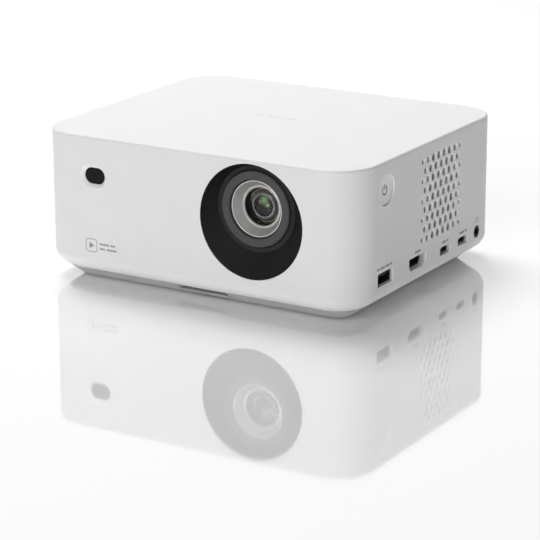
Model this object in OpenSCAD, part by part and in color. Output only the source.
// Compact laser home projector: a white rounded box on a tapered base, with an off-centre lens
// in a black dish, a sensor window, a power button, a row of sockets and a round-hole grille.
// X runs across the front, Y runs from the front face to the back, Z is up from the tabletop.

/* [Housing] */
// Overall width across the front
body_w = 164; // [160:1:170]
// Overall depth from front face to back face
body_d = 139; // [136:1:145]
// Overall height from the tabletop
body_h = 69.2; // [69:0.1:72]
// Radius of the four upright corners
corner_r = 18.6; // [16:0.1:20]
// Thickness of the shell walls
wall = 2.2; // [1.8:0.1:2.6]
// Rounding of the top edge
top_r = 1.2; // [0.6:0.1:2]
// How far the lower edge rounding reaches in
under_w = 11.5; // [9:0.1:12]
// How far the lower edge rounding reaches up
under_h = 9; // [7:0.1:11]

/* [Base] */
// Height of the base rim above the tabletop
rim_z = 0.8; // [0.6:0.1:1.2]
// Height of the parting line between base and shell
part_z = 5.4; // [5:0.1:6]
// How far the base's foot is set in from the shell's face
rim_inset = 12.3; // [10:0.1:13]
// How far the base's top edge is set in from the shell's face
skirt_inset = 6.2; // [5:0.1:8]
// Radius of each rubber foot
foot_r = 6; // [4:0.5:8]

/* [Lens] */
// Lens axis to the right of the centre
lens_x = 30.7; // [28:0.1:31]
// Lens axis above the tabletop
lens_z = 46.3; // [45:0.1:47]
// Centre of the black dish above the tabletop
dish_z = 41.5; // [41:0.1:42]
// Radius of the black dish at the front face
dish_r = 25.7; // [24:0.1:25.7]
// Radius of the textured ring round the lens
hood_r = 17; // [16:0.1:17.5]
// Travel of the focusing cell
focus_travel = 3; // [1:0.5:3]

/* [Grille] */
// Spacing of the grille holes along a row
grille_pitch = 5.16; // [5:0.01:5.4]
// Spacing of the grille rows
grille_row = 4.45; // [4.4:0.01:4.6]
// Rows in each side grille
grille_rows = 9; // [3:2:9]
// Holes in the longer rows
grille_columns = 8; // [4:2:8]
// Centre of the side grilles behind the middle
grille_y = 9.6; // [8:0.1:11]
// Centre of the side grilles above the tabletop
grille_z = 43.6; // [43:0.1:44]

/* [Controls] */
// Radius of the power button's hole
button_r = 7; // [6:0.1:7.5]
// Travel of the power button
button_travel = 0.8; // [0.4:0.1:0.8]
// Swing of the tilt foot in degrees
tilt_swing = 70; // [30:5:80]

/* [Hidden] */
$fn = 96;

front_y = -body_d / 2;
side_x = body_w / 2;
corner_x = side_x - corner_r;
corner_y = body_d / 2 - corner_r;
inner_x = side_x - wall;
inner_y = body_d / 2 - wall;
inner_top = body_h - wall;
shell_z = part_z + 0.2;
under_z = shell_z - 0.8;
under_cz = under_z + under_h;
floor_z = 3.4;
floor_under_z = 1.6;
stand_inset = 12;
base_inner_inset = 13.8;
base_inner_top = 12;

// Screws that close the base: one at each corner and one under each leg of the light engine
post_x = 61;
post_y = 48.5;
corner_spots = [for (sx = [-1, 1], sy = [-1, 1]) [sx * post_x, sy * post_y]];
leg_spots = [[-20, -18], [-20, 8], [14, -18], [14, 8]];
foot_spots = [for (sx = [-1, 1], sy = [-1, 1]) [sx * 50, sy * 38]];
post_r = 3.6;
leg_r = 4;
boss_r = 4.6;
screw_head_r = 2.6;
screw_head_h = 1.6;
screw_head_z = 1.1;
screw_r = 1.4;
screw_gap = 0.05;
screw_len = 10;

// Tilt foot and the finger notch in front of it
tilt_x = 1.25;
tilt_w = 28.5;
notch_w = 25.5;
notch_z = 3;
tilt_y = -33;
tilt_z = 2.7;
tilt_pin_r = 1;
tilt_pan_back = -29.5;
tilt_pan_top = 5.2;
tilt_gap = 0.4;
pan_wall = 2.5;

// Air slot along the foot of the port side
slot_top_half = 13.5;
slot_foot_half = 19;

// Depths behind the front face along the lens axis
dish_depth = 5.2;
hood_depth = 3.8;
trim_depth = 5.1;
trim_back = 9.2;
glass_depth = 10.25;
inner_glass_r = 5.25;
inner_glass_depth = 11.6;
barrel_front = 8.8;
barrel_back = 44.5;
flange_t = 3;
barrel_r = 14.5;
barrel_bore_r = 12.05;
flange_r = 19;
flange_screw_r = 16.6;
cell_depth = 20;
cell_len = 9;
cell_arm_depth = 22;
cell_arm_len = 5;
focus_dx = -24;
focus_rod_r = 1.5;
running_gap = 0.05;

// Light engine box
engine_x0 = -26;
engine_x1 = 46;
engine_y0 = front_y + barrel_back + 0.1;
engine_y1 = 14;
engine_z0 = 28;
engine_z1 = 61;
engine_t = 2;
cover_t = 2;
beam_y = -13;
wheel_x = 12;
wheel_z = lens_z - 6.5;
wheel_r = 9;

// Main board and the sockets on it
board_z = 12.3;
board_t = 1.6;
board_top = board_z + board_t;
board_posts = [[30, -14], [30, 44], [64, -32], [64, 38]];
usb_a_y = -42.3;
usb_a_z = 17.5;
hdmi_y = -12.5;
hdmi_z = 16.8;
usb_c_y = 14.3;
usb_c_power_y = 32.1;
usb_c_z = 15.6;
jack_y = 46.3;
jack_z = 16.3;
jack_bore_r = 1.8;
socket_x = side_x - wall + 0.9;
hdmi_tunnel = 1.3;
hdmi_x = inner_x - 0.7;
jack_x = side_x - 0.15;

// Fans
fan_size = 40;
fan_t = 10;
fan_bore_r = 19;
fan_hub_r = 8.4;
fan_pin_r = 0.9;
fan_blades = 7;
fan_right_x = inner_x - 3.3 - fan_t;
fan_left_x = -49;
pipe_r = 2.5;
pipe_bend = 8;
pipe_y = -15;
pipe_x = -61;
pipe_zs = [38, 52];

// Front window and button
window_x = -51.1;
window_z = 51;
window_straight = 3.2;
window_r = 3.75;
window_bevel = 1.45;
window_bevel_depth = 1.35;
button_y = -42.05;
button_z = 56.5;
button_face = side_x - 0.75;
button_gap = 0.2;
button_collar_r = 8.6;

// Speaker
speaker_x = -5;
speaker_z = 34;
speaker_y = body_d / 2 - wall - 0.6;
speaker_rows = 7;

// Behind each side grille the wall is thinned from the inside, and the dust mesh lies in that pocket
grille_wall = 0.9;
mesh_half = 21;
mesh_t = 0.8;
mesh_gap = 0.05;

function arc(cx, cz, rx, rz, from, to, steps) =
    [for (i = [0 : steps]) let (a = from + (to - from) * i / steps) [cx + rx * cos(a), cz + rz * sin(a)]];

function sag(r, curve) = curve - sqrt(curve * curve - r * r);

// Grille holes, each as [along the row, up, radius]: the holes shrink towards both ends of a row
function grille_holes(rows, columns) =
    [for (row = [0 : rows - 1])
        let (count = columns - row % 2)
        for (i = [0 : count - 1])
            let (u = i - (count - 1) / 2, edge = columns / 2 - abs(u))
            [u * grille_pitch, (row - (rows - 1) / 2) * grille_row,
             edge < 0.8 ? 1.45 : edge < 1.8 ? 1.75 : 2.08]];

// Solid with the housing's rounded outline; its child is the edge profile, drawn outwards from a corner's centre
module plan_sweep(z_low, z_high) {
    translate([-corner_x, -corner_y, z_low])
        cube([2 * corner_x, 2 * corner_y, z_high - z_low]);
    for (k = [0 : 3]) {
        along = k % 2 == 0 ? corner_x : corner_y;
        across = k % 2 == 0 ? corner_y : corner_x;
        rotate([0, 0, 90 * k])
            translate([along, across, 0]) {
                rotate_extrude(angle = 90)
                    children();
                rotate([90, 0, 0])
                    linear_extrude(2 * across)
                        children();
            }
    }
}

module plan_band(inset, z_low, z_high) {
    plan_sweep(z_low, z_high)
        translate([0, z_low])
            square([corner_r - inset, z_high - z_low]);
}

module rounded_rect(w, h, r) {
    square([w, h - 2 * r], center = true);
    square([w - 2 * r, h], center = true);
    for (sx = [-1, 1], sy = [-1, 1])
        translate([sx * (w / 2 - r), sy * (h / 2 - r)])
            circle(r);
}

module stadium(straight, r) {
    square([straight, 2 * r], center = true);
    for (s = [-1, 1])
        translate([s * straight / 2, 0])
            circle(r);
}

// HDMI outline: flat top, lower corners cut away
module hdmi_outline(w, h, cut) {
    polygon([[-w / 2, h / 2], [w / 2, h / 2], [w / 2, -h / 2 + cut], [w / 2 - cut, -h / 2],
             [-w / 2 + cut, -h / 2], [-w / 2, -h / 2 + cut]]);
}

// Places a child's X along Y, its Y along Z and its Z along X
module facing_right(x, y, z) {
    translate([x, y, z])
        rotate([90, 0, 90])
            children();
}

// Places a child's Z along +Y on the lens axis, starting at a depth behind the front face
module on_lens_axis(depth) {
    translate([lens_x, front_y + depth, lens_z])
        rotate([-90, 0, 0])
            children();
}

module box_between(low, high) {
    translate(low)
        cube(high - low);
}

module rod_x(x0, x1, y, z, r) {
    translate([x0, y, z])
        rotate([0, 90, 0])
            cylinder(h = x1 - x0, r = r);
}

module rod_y(x, y0, y1, z, r) {
    translate([x, y0, z])
        rotate([-90, 0, 0])
            cylinder(h = y1 - y0, r = r);
}

module rod_z(x, y, z0, z1, r) {
    translate([x, y, z0])
        cylinder(h = z1 - z0, r = r);
}

// Round lens with curved faces, its edge from depth 0 to depth t; a negative curve is hollow
module lens_element(r, front_curve, back_curve, t) {
    steps = 8;
    front = [for (i = [0 : steps]) let (x = r * i / steps)
        [x, -sign(front_curve) * (sag(r, abs(front_curve)) - sag(x, abs(front_curve)))]];
    back = [for (i = [steps : -1 : 0]) let (x = r * i / steps)
        [x, t + sign(back_curve) * (sag(r, abs(back_curve)) - sag(x, abs(back_curve)))]];
    rotate_extrude()
        polygon(concat(front, back));
}

module grille_cut(rows, columns, length) {
    for (hole = grille_holes(rows, columns))
        translate([hole[0], hole[1], 0])
            cylinder(h = length, r = hole[2]);
}

// Pockets inside the walls behind the three grilles
module grille_pockets() {
    for (side = [-1, 1])
        translate([side * (side_x - grille_wall - 1.5), grille_y, grille_z])
            cube([3, 2 * mesh_half + 0.4, 2 * mesh_half + 0.4], center = true);
    box_between([speaker_x - 20.5, inner_y - 1, speaker_z - 16.5],
                [speaker_x + 20.5, body_d / 2 - grille_wall, speaker_z + 16.5]);
}

module port_cuts(length) {
    facing_right(side_x - length, usb_a_y, usb_a_z)
        linear_extrude(length + 1)
            rounded_rect(14.2, 6.7, 0.7);
    facing_right(side_x - length, hdmi_y, hdmi_z)
        linear_extrude(length + 1)
            hdmi_outline(16.2, 6.5, 2.1);
    for (y = [usb_c_y, usb_c_power_y])
        facing_right(side_x - length, y, usb_c_z)
            linear_extrude(length + 1)
                rounded_rect(10.2, 4.4, 1.3);
    rod_x(side_x - length, side_x + 1, jack_y, jack_z, 2.95);
}

// Long hole with a bevelled mouth, cut into the front wall
module window_cut() {
    mouth_r = window_r + window_bevel;
    translate([window_x, front_y + window_bevel_depth, window_z])
        rotate([90, 0, 0]) {
            for (s = [-1, 1])
                translate([s * window_straight / 2, 0, 0])
                    cylinder(h = window_bevel_depth, r1 = window_r, r2 = mouth_r);
            rotate([90, 0, 90])
                linear_extrude(window_straight, center = true)
                    polygon([[-window_r, 0], [window_r, 0], [mouth_r, window_bevel_depth],
                             [-mouth_r, window_bevel_depth]]);
        }
    translate([window_x, front_y + wall + 1, window_z])
        rotate([90, 0, 0])
            linear_extrude(wall + 1)
                stadium(window_straight, window_r + 0.1);
}

module upper_housing() {
    outer = concat([[0, shell_z]],
        arc(corner_r - under_w, under_cz, under_w, under_h, asin((shell_z - under_cz) / under_h), 0, 10),
        arc(corner_r - top_r, body_h - top_r, top_r, top_r, 0, 90, 4),
        [[0, body_h]]);
    inner = concat([[0, shell_z - 1], [corner_r - under_w, shell_z - 1]],
        arc(corner_r - under_w, under_cz, under_w - wall, under_h - wall, -90, 0, 8),
        [[corner_r - wall, inner_top], [0, inner_top]]);
    color("white")
        difference() {
            union() {
                difference() {
                    plan_sweep(shell_z, body_h)
                        polygon(outer);
                    plan_sweep(shell_z - 1, inner_top)
                        polygon(inner);
                }
                for (spot = corner_spots)
                    rod_z(spot[0], spot[1], shell_z, inner_top + 0.5, post_r);
                rod_x(inner_x - 5.3, inner_x + 0.5, button_y, button_z, button_collar_r + 1.4);
                facing_right(inner_x - hdmi_tunnel, hdmi_y, hdmi_z)
                    linear_extrude(hdmi_tunnel + 0.5)
                        hdmi_outline(18.6, 8.7, 3);
            }
            for (spot = corner_spots)
                rod_z(spot[0], spot[1], shell_z - 1, shell_z + screw_len, screw_r + screw_gap);
            rod_y(lens_x, front_y - 1, front_y + wall + 0.1, dish_z, dish_r);
            window_cut();
            rod_x(inner_x - 6, inner_x, button_y, button_z, button_collar_r);
            rod_x(inner_x - 1, side_x + 1, button_y, button_z, button_r);
            port_cuts(wall + hdmi_tunnel + 1);
            grille_pockets();
            facing_right(side_x - wall - 1, grille_y, grille_z)
                grille_cut(grille_rows, grille_columns, wall + 2);
            facing_right(-side_x - 1, grille_y, grille_z)
                grille_cut(grille_rows, grille_columns, wall + 2);
            translate([speaker_x, body_d / 2 + 1, speaker_z])
                rotate([90, 0, 0])
                    grille_cut(speaker_rows, grille_columns, wall + 2);
        }
}

module screw_boss(spot, top) {
    rod_z(spot[0], spot[1], rim_z, top, boss_r);
}

module screw_boss_cut(spot, top) {
    rod_z(spot[0], spot[1], rim_z - 1, screw_head_z + screw_head_h, screw_head_r + 0.4);
    rod_z(spot[0], spot[1], rim_z, top + 1, screw_r + 0.15);
}

tripod_y = 4;
tripod_r = 2.55;
tripod_len = 9;
tripod_z = 1;
tripod_insert_r = 4.6;

module lower_housing() {
    skirt = [[0, rim_z], [corner_r - rim_inset, rim_z], [corner_r - skirt_inset, part_z], [0, part_z]];
    slot = concat(arc(-slot_foot_half, part_z, slot_foot_half - slot_top_half, part_z + 0.1, -90, 0, 6),
        arc(slot_foot_half, part_z, slot_foot_half - slot_top_half, part_z + 0.1, 180, 270, 6));
    color("gainsboro")
        difference() {
            union() {
                difference() {
                    union() {
                        plan_sweep(rim_z, part_z)
                            polygon(skirt);
                        plan_band(stand_inset, part_z - 1, base_inner_top);
                    }
                    plan_band(base_inner_inset, floor_z, base_inner_top + 1);
                    plan_band(base_inner_inset + 1.2, rim_z - 1, floor_under_z);
                }
                for (spot = corner_spots)
                    screw_boss(spot, part_z);
                for (spot = leg_spots)
                    screw_boss(spot, floor_z);
                for (spot = board_posts)
                    rod_z(spot[0], spot[1], floor_under_z, board_z, 3);
                rod_z(0, tripod_y, rim_z, tripod_z + tripod_len + 2, tripod_insert_r + 2);
                box_between([tilt_x - tilt_w / 2 - pan_wall, front_y + base_inner_inset - 1, rim_z],
                            [tilt_x + tilt_w / 2 + pan_wall, tilt_pan_back + pan_wall, tilt_pan_top + 1.8]);
            }
            for (spot = corner_spots)
                screw_boss_cut(spot, part_z);
            for (spot = leg_spots)
                screw_boss_cut(spot, floor_z);
            for (spot = board_posts)
                rod_z(spot[0], spot[1], board_z - 6, board_z + 1, 1.05);
            rod_z(0, tripod_y, rim_z - 1, tripod_z + tripod_len + 0.05, tripod_insert_r + 0.02);
            box_between([tilt_x - tilt_w / 2, front_y + base_inner_inset - 1, -1],
                        [tilt_x + tilt_w / 2, tilt_pan_back, tilt_pan_top]);
            box_between([tilt_x - tilt_w / 2, front_y, -1],
                        [tilt_x + tilt_w / 2, front_y + base_inner_inset, notch_z + 0.2]);
            translate([tilt_x, front_y + stand_inset, notch_z + 1.5])
                rotate([90, 0, 0])
                    linear_extrude(stand_inset)
                        rounded_rect(notch_w, 4.4, 0.8);
            rod_x(tilt_x - tilt_w / 2 - pan_wall - 1, tilt_x + tilt_w / 2 + pan_wall + 1, tilt_y, tilt_z,
                  tilt_pin_r + 0.02);
            facing_right(side_x - stand_inset, 0, 0)
                linear_extrude(stand_inset)
                    polygon(slot);
        }
}

module rubber_feet() {
    color("dimgray")
        for (spot = foot_spots)
            translate([spot[0], spot[1], 0])
                rotate_extrude()
                    polygon([[0, 0], [foot_r - 0.4, 0], [foot_r, 0.4], [foot_r, floor_under_z],
                             [0, floor_under_z]]);
}

module base_screws() {
    color("silver")
        for (spot = concat(corner_spots, leg_spots))
            difference() {
                union() {
                    rod_z(spot[0], spot[1], screw_head_z, screw_head_z + screw_head_h, screw_head_r);
                    rod_z(spot[0], spot[1], screw_head_z + 1, shell_z + screw_len - 1.5, screw_r);
                }
                translate([spot[0], spot[1], screw_head_z - 0.5])
                    for (a = [0, 90])
                        rotate([0, 0, a])
                            cube([3, 0.7, 2.4], center = true);
            }
}

module tripod_insert() {
    color("goldenrod")
        difference() {
            rod_z(0, tripod_y, tripod_z, tripod_z + tripod_len, tripod_insert_r);
            rod_z(0, tripod_y, tripod_z - 1, tripod_z + tripod_len + 1, tripod_r);
        }
}

module tilt_foot() {
    tip_low = front_y + rim_inset;
    tip_high = front_y + rim_inset - (rim_inset - skirt_inset) * (notch_z - rim_z) / (part_z - rim_z);
    half = tilt_w / 2 - tilt_gap;
    color("gainsboro")
        difference() {
            union() {
                translate([tilt_x - half, 0, 0])
                    rotate([90, 0, 90])
                        linear_extrude(2 * half)
                            polygon([[tip_low, rim_z + 0.1], [tilt_y, rim_z + 0.1], [tilt_y, notch_z],
                                     [tip_high, notch_z]]);
                rod_x(tilt_x - half, tilt_x + half, tilt_y, tilt_z, 1.8);
            }
            rod_x(tilt_x - half - 1, tilt_x + half + 1, tilt_y, tilt_z, tilt_pin_r + 0.06);
            box_between([tilt_x - 9, tip_low + 2, rim_z - 1], [tilt_x + 9, tip_low + 8, rim_z + 0.7]);
        }
}

module tilt_foot_pin() {
    color("silver")
        rod_x(tilt_x - tilt_w / 2 - pan_wall + 0.2, tilt_x + tilt_w / 2 + pan_wall - 0.2, tilt_y, tilt_z,
              tilt_pin_r);
}

module tilt_foot_pad() {
    tip_low = front_y + rim_inset;
    color("dimgray")
        box_between([tilt_x - 8.9, tip_low + 2.1, 0.45], [tilt_x + 8.9, tip_low + 7.9, rim_z + 0.7]);
}

module lens_bezel() {
    color("black")
        difference() {
            union() {
                rod_y(lens_x, front_y + 0.15, front_y + dish_depth + 1.4, dish_z, dish_r - 0.25);
                intersection() {
                    rod_y(lens_x, front_y + wall + 0.15, front_y + wall + 1.9, dish_z, dish_r + 2.3);
                    box_between([0, front_y, 0], [side_x, 0, inner_top - 0.1]);
                }
            }
            hull() {
                rod_y(lens_x, front_y, front_y + 0.2, dish_z, dish_r - 0.5);
                rod_y(lens_x, front_y + dish_depth - 0.1, front_y + dish_depth, lens_z, 19.6);
            }
            rod_y(lens_x, front_y, front_y + 12, lens_z, hood_r + 0.2);
        }
}

module lens_hood() {
    back = 11.5;
    color("#3c3d40")
        on_lens_axis(0)
            rotate_extrude()
                polygon([[hood_r - 3.9, barrel_front - 0.1], [hood_r - 3.9, hood_depth + 0.6],
                         [hood_r - 3.3, hood_depth], [hood_r - 0.6, hood_depth],
                         [hood_r, hood_depth + 0.6], [hood_r, back], [barrel_r + 0.1, back],
                         [barrel_r + 0.1, barrel_front - 0.1]]);
}

module lens_trim() {
    color("silver")
        on_lens_axis(0)
            rotate_extrude()
                polygon([[12.65, trim_depth], [12.15, trim_depth], [9.3, trim_back], [8.5, trim_back],
                         [8.5, trim_back + 0.5], [10.4, trim_back + 0.95], [12.65, trim_back + 0.95]]);
}

module front_lens() {
    color("lightblue", 0.5)
        on_lens_axis(glass_depth)
            lens_element(10.3, 46, -16, 3);
}

module lens_barrel() {
    slot_z = 3.3;
    color("#2b2b2d")
        difference() {
            on_lens_axis(0)
                rotate_extrude()
                    polygon([[12.75, barrel_front], [barrel_r, barrel_front],
                             [barrel_r, barrel_back - flange_t], [flange_r, barrel_back - flange_t],
                             [flange_r, barrel_back], [barrel_bore_r, barrel_back],
                             [barrel_bore_r, 16], [4.7, 16], [4.7, 14.1], [inner_glass_r + 0.05, 14.1],
                             [inner_glass_r + 0.05, 11.4], [4.9, 11.4], [4.9, 11], [6.2, 11], [6.2, 11.7],
                             [7.4, 12], [7.4, 12.7], [8.7, 13], [8.7, 13.3], [10.4, 13.3], [10.4, 10.3],
                             [12.75, 10.3]]);
            box_between([lens_x - 16, front_y + cell_arm_depth - 0.4, lens_z - slot_z],
                        [lens_x - 9, front_y + cell_arm_depth + cell_arm_len + focus_travel + 0.4,
                         lens_z + slot_z]);
            for (a = [45 : 90 : 315])
                on_lens_axis(barrel_back - flange_t - 1)
                    translate([flange_screw_r * cos(a), flange_screw_r * sin(a), 0])
                        cylinder(h = flange_t + 2, r = 1.1);
        }
}

module barrel_screws() {
    color("silver")
        for (a = [45 : 90 : 315])
            on_lens_axis(barrel_back - flange_t)
                translate([flange_screw_r * cos(a), flange_screw_r * sin(a), 0]) {
                    translate([0, 0, -1.2])
                        cylinder(h = 1.2, r = 1.9);
                    translate([0, 0, -0.2])
                        cylinder(h = flange_t + 3, r = 1);
                }
}

module focus_cell() {
    color("#3a3a3c")
        difference() {
            union() {
                on_lens_axis(cell_depth)
                    cylinder(h = cell_len, r = barrel_bore_r - running_gap);
                box_between([lens_x + focus_dx, front_y + cell_arm_depth, lens_z - 2.8],
                            [lens_x - 10, front_y + cell_arm_depth + cell_arm_len, lens_z + 2.8]);
                rod_y(lens_x + focus_dx, front_y + cell_arm_depth, front_y + cell_arm_depth + cell_arm_len,
                      lens_z, 3.4);
            }
            on_lens_axis(cell_depth - 1)
                cylinder(h = cell_len + 2, r = 9.5);
            rod_y(lens_x + focus_dx, front_y + cell_arm_depth - 1,
                  front_y + cell_arm_depth + cell_arm_len + 1, lens_z, focus_rod_r + running_gap);
        }
}

module focus_lens() {
    color("lightblue", 0.5)
        on_lens_axis(cell_depth + 2)
            lens_element(9.45, 30, 24, 2.5);
}

module inner_lenses() {
    color("lightblue", 0.5) {
        on_lens_axis(inner_glass_depth)
            lens_element(inner_glass_r, 12, 30, 2);
        on_lens_axis(36)
            lens_element(11.95, 40, -30, 2.5);
        on_lens_axis(41)
            lens_element(11.95, 36, 60, 2);
    }
}

focus_rod_front = 16.7;
focus_rod_back = 39;

// Lead screw: plain journals at both ends, and thread crests one step apart between them
module focus_screw() {
    crest = 0.5;
    first = focus_rod_front + 1.2;
    last = focus_rod_back - 2.8;
    turns = floor((last - first) / crest);
    color("silver")
        translate([lens_x + focus_dx, front_y, lens_z])
            rotate([-90, 0, 0])
                rotate_extrude()
                    polygon(concat(
                        [[0, focus_rod_front], [0.8, focus_rod_front], [0.8, first]],
                        [for (i = [0 : turns - 1], half = [0, 1])
                            [focus_rod_r - 0.22 * (1 - half), first + (i + half / 2) * crest]],
                        [[0.8, first + turns * crest], [0.8, focus_rod_back], [0, focus_rod_back]]));
}

module focus_motor() {
    color("silver")
        rod_y(lens_x + focus_dx, front_y + 7.5, front_y + 15.4, lens_z, 4.5);
    color("silver")
        rod_y(lens_x + focus_dx, front_y + 15.3, front_y + 16.6, lens_z, 1.4);
}

module focus_bracket() {
    x = lens_x + focus_dx;
    color("darkgray")
        difference() {
            union() {
                box_between([x - 5.5, front_y + 15.5, lens_z - 5], [x + 5.5, front_y + 16.5, lens_z + 5]);
                box_between([x - 6.5, front_y + 15.5, lens_z - 5],
                            [x - 5.5, front_y + barrel_back - flange_t - 0.1, lens_z + 5]);
                box_between([x - 6.5, front_y + focus_rod_back - 2, lens_z - 5],
                            [x + 5.5, front_y + focus_rod_back - 1, lens_z + 5]);
                box_between([x - 6.5, front_y + barrel_back - flange_t - 1.1, lens_z - 5],
                            [x + 8.5, front_y + barrel_back - flange_t - 0.1, lens_z + 5]);
            }
            rod_y(x, front_y + 15, front_y + 17, lens_z, 1.5);
            rod_y(x, front_y + focus_rod_back - 3, front_y + focus_rod_back, lens_z, 0.85);
            rod_y(x, front_y + focus_rod_back - 1, front_y + barrel_back, lens_z, 2);
        }
}

module engine_housing() {
    color("#8b8d90")
        difference() {
            union() {
                box_between([engine_x0, engine_y0, engine_z0], [engine_x1, engine_y1, engine_z1]);
                for (spot = leg_spots)
                    rod_z(spot[0], spot[1], floor_z, engine_z0 + 1, leg_r);
            }
            box_between([engine_x0 + engine_t, engine_y0 + engine_t, engine_z0 + engine_t],
                        [engine_x1 - engine_t, engine_y1 - engine_t, engine_z1 + 1]);
            rod_y(lens_x, engine_y0 - 1, engine_y0 + engine_t + 1, lens_z, 11);
            box_between([lens_x - 8.5, engine_y1 - engine_t - 1, lens_z - 8.5],
                        [lens_x + 8.5, engine_y1 + 1, lens_z + 8.5]);
            for (spot = leg_spots)
                rod_z(spot[0], spot[1], floor_z - 1, shell_z + screw_len, screw_r + screw_gap);
            for (a = [45 : 90 : 315])
                on_lens_axis(barrel_back - 1)
                    translate([flange_screw_r * cos(a), flange_screw_r * sin(a), 0])
                        cylinder(h = 5, r = 1.05);
        }
}

module engine_cover() {
    color("#9a9c9f")
        difference() {
            box_between([engine_x0, engine_y0, engine_z1], [engine_x1, engine_y1, engine_z1 + cover_t]);
            box_between([engine_x0 + 8, engine_y0 + 8, engine_z1 + 1], [engine_x1 - 8, engine_y1 - 8, 80]);
        }
}

// Two glass wedges with a thin air gap between them
module prism() {
    size = 14;
    color("azure", 0.5)
        translate([lens_x - size / 2, engine_y0 + engine_t + 1, lens_z - size / 2]) {
            linear_extrude(size)
                polygon([[0, 0], [size - 0.2, 0], [0, size - 0.2]]);
            linear_extrude(size)
                polygon([[size, size], [0.2, size], [size, 0.2]]);
        }
}

dmd_y = engine_y0 + engine_t + 16;

module dmd_chip() {
    color("dimgray")
        box_between([lens_x - 11, dmd_y, lens_z - 9], [lens_x + 11, dmd_y + 2, lens_z + 9]);
}

module dmd_board() {
    color("darkgreen")
        difference() {
            box_between([lens_x - 15, dmd_y + 2, lens_z - 14], [lens_x + 12, dmd_y + 3.4, lens_z + 14]);
            box_between([lens_x - 7, dmd_y, lens_z - 7], [lens_x + 7, dmd_y + 5, lens_z + 7]);
        }
}

module dmd_heatsink() {
    fin_pitch = 3;
    color("silver") {
        box_between([lens_x - 6.8, dmd_y + 2, lens_z - 6.8], [lens_x + 6.8, engine_y1 + 0.2, lens_z + 6.8]);
        box_between([lens_x - 11, engine_y1 + 0.1, lens_z - 10], [lens_x + 11, engine_y1 + 2.5, lens_z + 10]);
        for (i = [0 : 7])
            translate([lens_x - 11 + i * fin_pitch, engine_y1 + 2.4, lens_z - 10])
                cube([1, 11, 20]);
    }
}

module relay_lens() {
    color("lightblue", 0.5)
        translate([18.2, beam_y, lens_z])
            rotate([0, 90, 0])
                lens_element(5, 16, 30, 2.2);
}

module dichroic_plates() {
    color("plum", 0.5)
        for (x = [-8, 3])
            translate([x, beam_y, lens_z])
                rotate([0, 0, 45])
                    cube([1, 11, 9], center = true);
}

// Laser can with a stepped nose; the nose points along +Z
module laser_can() {
    cylinder(h = 8, r = 4.6);
    translate([0, 0, 7.5])
        cylinder(h = 2.5, r = 3);
}

module laser_red() {
    color("firebrick")
        translate([3, engine_y1 - engine_t - 0.1, lens_z])
            rotate([90, 0, 0])
                laser_can();
}

module laser_green() {
    color("seagreen")
        translate([-8, engine_y1 - engine_t - 0.1, lens_z])
            rotate([90, 0, 0])
                laser_can();
}

module laser_blue() {
    color("royalblue")
        translate([engine_x0 + engine_t + 0.1, beam_y, lens_z])
            rotate([0, 90, 0])
                laser_can();
}

module diffuser_wheel() {
    color("lightgray", 0.6)
        difference() {
            union() {
                rod_x(wheel_x - 0.3, wheel_x + 0.3, beam_y, wheel_z, wheel_r);
                rod_x(wheel_x - 1.4, wheel_x + 0.7, beam_y, wheel_z, 2.6);
            }
            rod_x(wheel_x - 1.1, wheel_x + 2, beam_y, wheel_z, 0.86);
        }
}

module diffuser_motor() {
    color("silver") {
        rod_x(wheel_x + 1, wheel_x + 4.8, beam_y, wheel_z, 4.6);
        rod_x(wheel_x - 0.9, wheel_x + 1.1, beam_y, wheel_z, 0.8);
        box_between([wheel_x + 1.5, beam_y - 4, engine_z0 + engine_t],
                    [wheel_x + 4.5, beam_y + 4, wheel_z - 2]);
    }
}

module laser_block() {
    color("silver")
        difference() {
            box_between([engine_x0 - 12, -22, 31], [engine_x0 - 0.1, 13, 60]);
            for (z = pipe_zs)
                rod_x(engine_x0 - 13, engine_x0 - 1, pipe_y, z, pipe_r + 0.05);
        }
}

module heat_pipes() {
    fin_back = 29;
    color("#b06a3c")
        for (z = pipe_zs) {
            rod_x(pipe_x, engine_x0 - 1.2, pipe_y, z, pipe_r);
            translate([pipe_x, pipe_y + pipe_bend, z])
                rotate([0, 0, 180])
                    rotate_extrude(angle = 90)
                        translate([pipe_bend, 0])
                            circle(pipe_r);
            rod_y(pipe_x - pipe_bend, pipe_y + pipe_bend, fin_back, z, pipe_r);
        }
}

module fin_stack() {
    fin_pitch = 2.5;
    color("silver")
        difference() {
            for (i = [0 : 13])
                translate([pipe_x - pipe_bend - 8.5, -5 + i * fin_pitch, 25])
                    cube([16.5, 0.5, 37]);
            for (z = pipe_zs)
                rod_y(pipe_x - pipe_bend, -8, 32, z, pipe_r + 0.02);
        }
}

// Square frame with a round duct, a motor plate on three struts and a fixed pin; the air runs along Z
module fan_frame() {
    half = fan_size / 2;
    plate_t = 1.2;
    color("#1c1c1e") {
        difference() {
            translate([-half, -half, 0])
                cube([fan_size, fan_size, fan_t]);
            translate([0, 0, -1])
                cylinder(h = fan_t + 2, r = fan_bore_r);
            for (sx = [-1, 1], sy = [-1, 1])
                translate([sx * 16.5, sy * 16.5, -1])
                    cylinder(h = fan_t + 2, r = 1.6);
        }
        cylinder(h = plate_t, r = fan_hub_r);
        for (a = [30, 150, 270])
            rotate([0, 0, a])
                translate([fan_hub_r - 1, -1, 0])
                    cube([fan_bore_r - fan_hub_r + 1.5, 2, plate_t]);
        cylinder(h = 7.5, r = fan_pin_r);
    }
}

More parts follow.
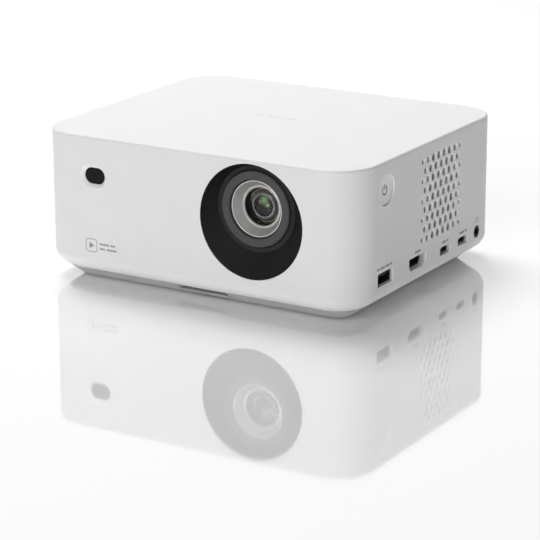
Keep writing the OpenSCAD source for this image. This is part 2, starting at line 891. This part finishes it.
module fan_rotor() {
    blade_h = 9;
    tip_gap = 0.6;
    color("#2a2a2c")
        difference() {
            union() {
                translate([0, 0, 1.6])
                    cylinder(h = 7.4, r = fan_hub_r);
                intersection() {
                    translate([0, 0, 1.7])
                        cylinder(h = 7.6, r = fan_bore_r - tip_gap);
                    for (i = [0 : fan_blades - 1])
                        rotate([0, 0, i * 360 / fan_blades])
                            translate([fan_hub_r - 0.8, 0, 5.3])
                                rotate([50, 0, 0])
                                    translate([0, -0.5, -blade_h / 2])
                                        cube([fan_bore_r - fan_hub_r + 2, 1, blade_h]);
                }
            }
            translate([0, 0, 1])
                cylinder(h = 7, r = fan_pin_r + 0.06);
        }
}

module at_right_fan() {
    translate([fan_right_x, grille_y, grille_z])
        rotate([0, 90, 0])
            children();
}

module at_left_fan() {
    translate([fan_left_x, grille_y, grille_z])
        rotate([0, -90, 0])
            children();
}

module fan_frame_right() {
    at_right_fan()
        fan_frame();
}

module fan_rotor_right() {
    at_right_fan()
        fan_rotor();
}

module fan_frame_left() {
    at_left_fan()
        fan_frame();
}

module fan_rotor_left() {
    at_left_fan()
        fan_rotor();
}

// Frame with a crossed web, in the pocket behind the grille holes
module dust_mesh(side) {
    web_pitch = 3;
    color("darkgray")
        translate([side * (side_x - grille_wall - mesh_gap - mesh_t / 2), grille_y, grille_z])
            rotate([90, 0, 90])
                translate([0, 0, -mesh_t / 2])
                    linear_extrude(mesh_t) {
                        difference() {
                            square(2 * mesh_half, center = true);
                            square(2 * mesh_half - 3, center = true);
                        }
                        for (i = [-6 : 6]) {
                            translate([i * web_pitch, 0])
                                square([0.6, 2 * mesh_half - 2], center = true);
                            translate([0, i * web_pitch])
                                square([2 * mesh_half - 2, 0.6], center = true);
                        }
                    }
}

module dust_mesh_right() {
    dust_mesh(1);
}

module dust_mesh_left() {
    dust_mesh(-1);
}

module sensor_window() {
    color("#101012")
        translate([window_x, front_y + window_bevel_depth, window_z])
            rotate([-90, 0, 0]) {
                linear_extrude(wall - window_bevel_depth + 0.1)
                    stadium(window_straight, window_r);
                translate([0, 0, wall - window_bevel_depth + 0.05])
                    linear_extrude(1)
                        stadium(window_straight, window_r + 1.5);
            }
}

module sensor_module() {
    back = front_y + 10;
    color("#25262a") {
        box_between([window_x - 4, front_y + 4, window_z - 4], [window_x + 4, back + 0.1, window_z + 4]);
        rod_y(window_x, front_y + 3.4, front_y + 4.1, window_z, 2.2);
    }
    color("darkgreen")
        box_between([window_x - 9, back, window_z - 7], [window_x + 9, back + 1.2, window_z + 7]);
}

module power_button() {
    dish_curve = 45;
    color("whitesmoke")
        difference() {
            union() {
                rod_x(inner_x - 1.1, button_face, button_y, button_z, button_r - button_gap);
                rod_x(inner_x - 1.1, inner_x - 0.1, button_y, button_z, button_collar_r - 0.4);
                rod_x(inner_x - 4.7, inner_x - 1, button_y, button_z, 1.5);
            }
            translate([button_face + dish_curve - 0.35, button_y, button_z])
                sphere(dish_curve);
        }
}

module button_board() {
    color("darkgreen")
        box_between([inner_x - 8.3, button_y - 9, button_z - 9], [inner_x - 6.7, button_y + 9, button_z + 9]);
    color("dimgray")
        box_between([inner_x - 6.8, button_y - 3, button_z - 3], [inner_x - 5.9, button_y + 3, button_z + 3]);
    color("black")
        rod_x(inner_x - 6, inner_x - 5.6, button_y, button_z, 1.3);
}

module main_board() {
    color("darkgreen")
        difference() {
            union() {
                box_between([22, -22, board_z], [inner_x - 1.6, 56, board_top]);
                box_between([54, -53, board_z], [inner_x - 1.6, -21, board_top]);
            }
            for (spot = corner_spots)
                rod_z(spot[0], spot[1], board_z - 1, board_top + 1, post_r + 0.6);
            for (spot = board_posts)
                rod_z(spot[0], spot[1], board_z - 1, board_top + 1, 1.15);
        }
}

module board_chips() {
    color("#18181a") {
        for (x = [24, 32], y = [8, 20])
            box_between([x, y, board_top], [x + 6.5, y + 9, board_top + 1]);
        box_between([36, -16, board_top], [46, -6, board_top + 1.2]);
        box_between([56, -28, board_top], [62, -22, board_top + 1.2]);
        box_between([36, 36, board_top], [50, 48, board_top + 1.6]);
    }
    color("ivory") {
        box_between([23, -20, board_top], [27, -2, board_top + 3]);
        box_between([54.5, -42, board_top], [64.5, -38, board_top + 4]);
    }
}

module board_screws() {
    color("silver")
        for (spot = board_posts) {
            rod_z(spot[0], spot[1], board_top, board_top + 1.3, 2.1);
            rod_z(spot[0], spot[1], board_top - 5, board_top + 0.1, 1);
        }
}

module soc_heatsink() {
    fin_pitch = 3;
    color("silver") {
        box_between([44, 8, board_top], [62, 32, board_top + 3]);
        for (i = [0 : 8])
            translate([44, 8 + i * fin_pitch - (i == 8 ? 1 : 0), board_top + 2.9])
                cube([18, 1, 7]);
    }
}

// Socket body of a given outline depth behind the wall: a metal shell, a hollow mouth and a tongue
module usb_a_socket() {
    depth = 14;
    color("silver")
        facing_right(socket_x - depth, usb_a_y, usb_a_z)
            difference() {
                linear_extrude(depth)
                    rounded_rect(13.4, 5.9, 0.6);
                translate([0, 0, 1])
                    linear_extrude(depth)
                        rounded_rect(12.5, 5.1, 0.4);
            }
    color("#202226")
        facing_right(socket_x - depth + 0.9, usb_a_y, usb_a_z + 1.2)
            linear_extrude(depth - 2.5)
                square([11.2, 1.8], center = true);
}

module hdmi_socket() {
    depth = 12;
    color("silver")
        facing_right(hdmi_x - depth, hdmi_y, hdmi_z)
            difference() {
                linear_extrude(depth)
                    hdmi_outline(15, 5.6, 1.7);
                translate([0, 0, 1])
                    linear_extrude(depth)
                        hdmi_outline(14, 4.6, 1.5);
            }
    color("#202226")
        facing_right(hdmi_x - depth + 0.9, hdmi_y, hdmi_z + 0.3)
            linear_extrude(depth - 2.5)
                square([11, 1.3], center = true);
}

module usb_c(y) {
    depth = 9;
    color("silver")
        facing_right(socket_x - depth, y, usb_c_z)
            difference() {
                linear_extrude(depth)
                    stadium(5.7, 1.63);
                translate([0, 0, 1])
                    linear_extrude(depth)
                        stadium(5.7, 1.3);
            }
    color("#202226")
        facing_right(socket_x - depth + 0.9, y, usb_c_z)
            linear_extrude(depth - 2)
                square([6.7, 0.7], center = true);
}

module usb_c_socket() {
    usb_c(usb_c_y);
}

module usb_c_power_socket() {
    usb_c(usb_c_power_y);
}

module audio_jack() {
    depth = 14;
    color("#1b1b1d")
        difference() {
            union() {
                box_between([jack_x - depth - 1, jack_y - 3, board_top],
                            [inner_x - 0.1, jack_y + 3, jack_z + 2.6]);
                rod_x(inner_x - 0.2, jack_x, jack_y, jack_z, 2.85);
            }
            rod_x(jack_x - depth, jack_x + 1, jack_y, jack_z, jack_bore_r);
        }
}

module speaker_box() {
    low = [speaker_x - 22, 36, speaker_z - 18.5];
    high = [speaker_x + 22, speaker_y, speaker_z + 18.5];
    t = 2;
    color("#2c2d31")
        difference() {
            box_between(low, high);
            box_between(low + [t, t, t], high - [t, t, t]);
            rod_y(speaker_x, speaker_y - t - 1, speaker_y + 1, speaker_z, 15.2);
        }
}

// Basket, cone and magnet of a small full-range driver, facing the back
module speaker_driver() {
    color("#3a3a3c")
        translate([speaker_x, speaker_y - 0.2, speaker_z])
            rotate([90, 0, 0])
                rotate_extrude()
                    polygon([[0, 3], [4, 3], [5, 3.6], [10.5, 1.2], [12.5, 0.4], [13.5, 1.2], [15, 1.2],
                             [15, 3.5], [13, 4], [10.5, 9], [10.5, 14], [0, 14]]);
}

module wifi_antenna() {
    color("#b08d57")
        box_between([-56, inner_y - 0.9, 50], [-28, inner_y - 0.3, 58]);
}

module power_board() {
    top = 9.6;
    color("darkgreen")
        box_between([-66, 0, 8], [-32, 40, top]);
    color("#1c1c1e")
        for (y = [6, 20])
            box_between([-62, y, top], [-52, y + 10, top + 5]);
    color("#4a4e57")
        for (x = [-46, -38], y = [10, 22, 34])
            rod_z(x, y, top, top + 9, 3);
    color("gainsboro")
        for (x = [-64, -36], y = [4, 36])
            rod_z(x, y, floor_z, 8, 2.5);
}

// Ribbons from the main board: one up to the DMD board, one across to the front window's board
module flat_cables() {
    t = 0.3;
    dmd_low = 16.9;
    color("orange") {
        box_between([24, -18, dmd_low], [25.2, -6, dmd_low + t]);
        box_between([20.6, -18, dmd_low], [24.1, -6, dmd_low + t]);
        box_between([20.6, -18, dmd_low], [20.6 + t, -6, engine_z0 - 0.2]);
    }
    color("white") {
        box_between([window_x + 8, front_y + 11.3, 16], [window_x + 14, front_y + 11.3 + t, 52]);
        box_between([window_x + 8, front_y + 11.3, 16], [-20, front_y + 11.3 + t, 20]);
    }
}

upper_housing();
lower_housing();
rubber_feet();
base_screws();
tripod_insert();
tilt_foot();
tilt_foot_pin();
tilt_foot_pad();
lens_bezel();
lens_hood();
lens_trim();
front_lens();
lens_barrel();
barrel_screws();
focus_cell();
focus_lens();
inner_lenses();
focus_screw();
focus_motor();
focus_bracket();
engine_housing();
engine_cover();
prism();
dmd_chip();
dmd_board();
dmd_heatsink();
relay_lens();
dichroic_plates();
laser_red();
laser_green();
laser_blue();
diffuser_wheel();
diffuser_motor();
laser_block();
heat_pipes();
fin_stack();
fan_frame_right();
fan_rotor_right();
fan_frame_left();
fan_rotor_left();
dust_mesh_right();
dust_mesh_left();
sensor_window();
sensor_module();
power_button();
button_board();
main_board();
board_chips();
board_screws();
soc_heatsink();
usb_a_socket();
hdmi_socket();
usb_c_socket();
usb_c_power_socket();
audio_jack();
speaker_box();
speaker_driver();
wifi_antenna();
power_board();
flat_cables();
